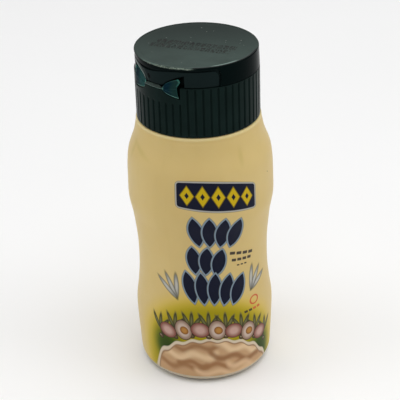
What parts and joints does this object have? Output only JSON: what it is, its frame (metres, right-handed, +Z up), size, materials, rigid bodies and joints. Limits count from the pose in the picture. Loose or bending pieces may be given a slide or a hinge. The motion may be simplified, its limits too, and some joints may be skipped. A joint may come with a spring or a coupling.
{
  "type": "mayonnaise squeeze bottle",
  "caption": "Shut squeeze bottle of mayonnaise that stands upright, with a waisted round body, a ribbed closure and a flat snap lid on a butterfly hinge.",
  "frame": {"origin": "centre of the foot, on the surface that the bottle stands on", "axes": "+Z up along the bottle's axis, -Y out of the middle of the printed side"},
  "size_m": [0.0618, 0.0618, 0.148],
  "materials": {
    "bottle": "smooth natural plastic with cream contents showing through, printed in soft fields of colour",
    "closure": "dark green moulded plastic, satin",
    "hinge": "the closure's plastic drawn thin, teal where light passes"
  },
  "bodies": {
    "root": {"bottle": "bottle", "closure_base": "closure", "lid": "closure", "hinge_strap": "hinge", "hinge_wing_left": "hinge", "hinge_wing_right": "hinge"}
  },
  "joints": []
}
